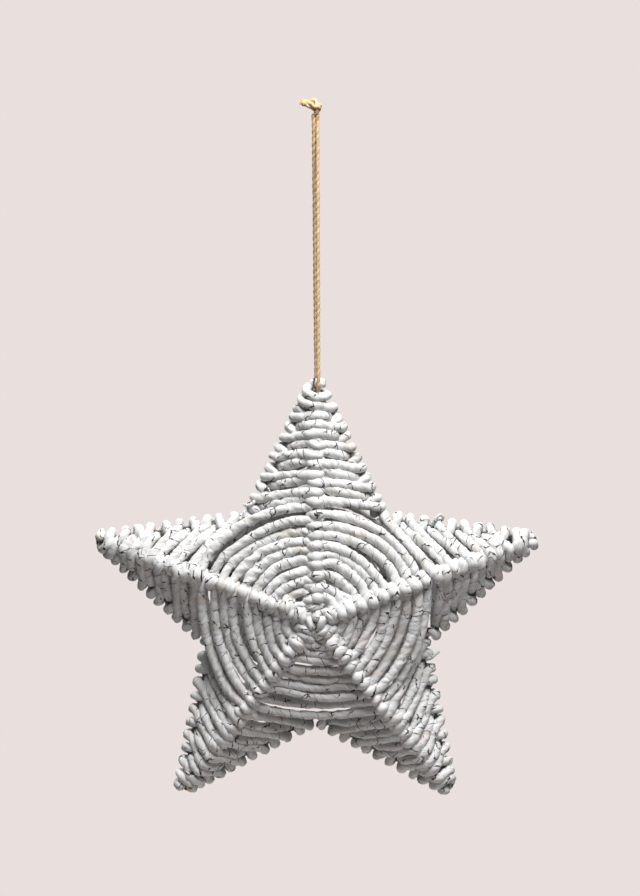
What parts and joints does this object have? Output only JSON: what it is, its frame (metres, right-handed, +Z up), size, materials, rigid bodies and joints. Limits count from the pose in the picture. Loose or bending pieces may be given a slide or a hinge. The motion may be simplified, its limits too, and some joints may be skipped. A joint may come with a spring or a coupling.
{
  "type": "hanging woven rope star ornament",
  "caption": "Hollow five-pointed star, ridged on both faces, woven from white paper rope over a welded wire frame, hung on a loop of jute twine.",
  "frame": {"origin": "the hanging point, under the knot at the top of the twine loop", "axes": "+Z up along the hanging twine, -Y the front of the star, X across from arm to arm"},
  "size_m": [0.2998, 0.0978, 0.4764],
  "materials": {
    "white_rope": "matt whitewash on twisted paper rope",
    "grey_wire": "dull drawn wire",
    "jute_twine": "hairy natural jute"
  },
  "bodies": {
    "root": {"wire_frame": "grey_wire", "arm_rope_1": "white_rope", "arm_rope_2": "white_rope", "arm_rope_3": "white_rope", "arm_rope_4": "white_rope", "arm_rope_5": "white_rope", "front_centre_rope": "white_rope", "back_centre_rope": "white_rope", "hanging_twine": "jute_twine", "twine_knot": "jute_twine"}
  },
  "joints": []
}
